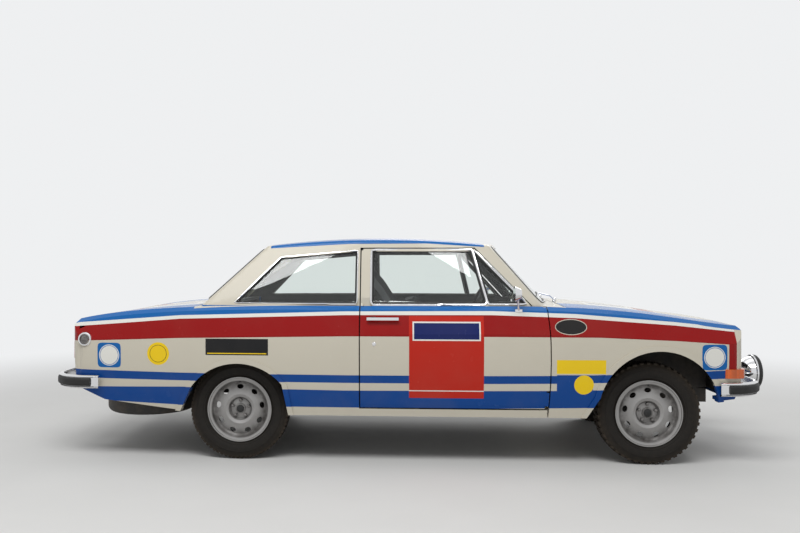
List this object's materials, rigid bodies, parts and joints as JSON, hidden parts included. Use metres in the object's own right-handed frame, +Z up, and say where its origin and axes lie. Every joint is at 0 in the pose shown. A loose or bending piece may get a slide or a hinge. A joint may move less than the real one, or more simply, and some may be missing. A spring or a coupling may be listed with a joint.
{
  "type": "two-door rally saloon car",
  "caption": "Full-size rally saloon on steel wheels; doors, bonnet and boot lid open, front wheels steer and all wheels roll.",
  "frame": {"origin": "on the floor below the middle of the overall box", "axes": "+X forward, +Y to the car's left, +Z up"},
  "size_m": [4.7, 1.821, 1.44],
  "materials": {
    "body_paint": "gloss paint in cream with blue, white and red bands",
    "window_glass": "clear window glass",
    "chrome_trim": "polished chrome",
    "black_plastic": "satin black",
    "black_rubber": "black rubber",
    "cast_block": "painted cast iron",
    "chassis_black": "satin black chassis paint",
    "exhaust_steel": "dull steel",
    "cage_paint": "black painted tube",
    "seat_cloth": "black cloth",
    "wheel_leather": "black leather rim",
    "wheel_silver": "silver paint",
    "tyre_rubber": "tyre rubber"
  },
  "bodies": {
    "root": {"boot_floor": "body_paint", "bumper_rubbers": "black_rubber", "bumpers": "chrome_trim", "dashboard": "black_plastic", "engine": "cast_block", "exhaust": "exhaust_steel", "floor_pan": "body_paint", "front_panel": "body_paint", "front_suspension": "chassis_black", "front_wing_left": "body_paint", "front_wing_right": "body_paint", "fuel_tank": "chassis_black", "glazing": "window_glass", "grille": "black_plastic", "inner_wings": "body_paint", "lamps": "chrome_trim", "parcel_shelf": "body_paint", "rear_axle": "chassis_black", "rear_panel": "body_paint", "rear_quarter_left": "body_paint", "rear_quarter_right": "body_paint", "rear_seat": "seat_cloth", "roll_cage": "cage_paint", "roof": "body_paint", "scuttle": "body_paint", "seats": "seat_cloth"},
    "bonnet": {"bonnet": "body_paint"},
    "boot_lid": {"boot_lid": "body_paint"},
    "door_right": {"door_right": "body_paint", "door_glass_right": "window_glass", "door_trim_right": "chrome_trim"},
    "door_left": {"door_left": "body_paint", "door_glass_left": "window_glass", "door_trim_left": "chrome_trim"},
    "steering_wheel": {"steering_wheel": "wheel_leather"},
    "knuckle_right": {"knuckle_right": "chassis_black"},
    "knuckle_left": {"knuckle_left": "chassis_black"},
    "wheel_front_right": {"rim_front_right": "wheel_silver", "tyre_front_right": "tyre_rubber"},
    "wheel_front_left": {"rim_front_left": "wheel_silver", "tyre_front_left": "tyre_rubber"},
    "wheel_rear_right": {"rim_rear_right": "wheel_silver", "tyre_rear_right": "tyre_rubber"},
    "wheel_rear_left": {"rim_rear_left": "wheel_silver", "tyre_rear_left": "tyre_rubber"}
  },
  "joints": [
    {"name": "spin_front_right", "type": "hinge", "parent": "knuckle_right", "child": "wheel_front_right", "pos_m": [1.49, -0.675, 0.322], "axis": [0, 1, 0], "continuous": true},
    {"name": "spin_rear_right", "type": "hinge", "parent": "root", "child": "wheel_rear_right", "pos_m": [-1.11, -0.675, 0.322], "axis": [0, 1, 0], "continuous": true},
    {"name": "spin_front_left", "type": "hinge", "parent": "knuckle_left", "child": "wheel_front_left", "pos_m": [1.49, 0.675, 0.322], "axis": [0, 1, 0], "continuous": true},
    {"name": "spin_rear_left", "type": "hinge", "parent": "root", "child": "wheel_rear_left", "pos_m": [-1.11, 0.675, 0.322], "axis": [0, 1, 0], "continuous": true},
    {"name": "steer_left", "type": "hinge", "parent": "root", "child": "knuckle_left", "pos_m": [1.49, 0.622, 0.322], "axis": [0, -0.1305, 0.9914], "range_deg": [-33, 33]},
    {"name": "steer_right", "type": "hinge", "parent": "root", "child": "knuckle_right", "pos_m": [1.49, -0.622, 0.322], "axis": [0, 0.1305, 0.9914], "range_deg": [-33, 33]},
    {"name": "steering_wheel_turn", "type": "hinge", "parent": "root", "child": "steering_wheel", "pos_m": [0.488, 0.36, 0.905], "axis": [-0.9063, 0, 0.4226], "range_deg": [-500, 500]},
    {"name": "door_right_open", "type": "hinge", "parent": "root", "child": "door_right", "pos_m": [0.818, -0.853, 0.695], "axis": [0, 0, 1], "range_deg": [0, 65]},
    {"name": "door_left_open", "type": "hinge", "parent": "root", "child": "door_left", "pos_m": [0.818, 0.853, 0.695], "axis": [0, 0, -1], "range_deg": [0, 65]},
    {"name": "bonnet_open", "type": "hinge", "parent": "root", "child": "bonnet", "pos_m": [0.96875, 0, 1.008], "axis": [0, -1, 0], "range_deg": [0, 60]},
    {"name": "boot_lid_open", "type": "hinge", "parent": "root", "child": "boot_lid", "pos_m": [-1.41, 0, 0.992], "axis": [0, 1, 0], "range_deg": [0, 70]}
  ],
  "couplings": [
    {"joint": "steer_right", "follows": "steer_left", "ratio": 1},
    {"joint": "steering_wheel_turn", "follows": "steer_left", "ratio": 15}
  ]
}
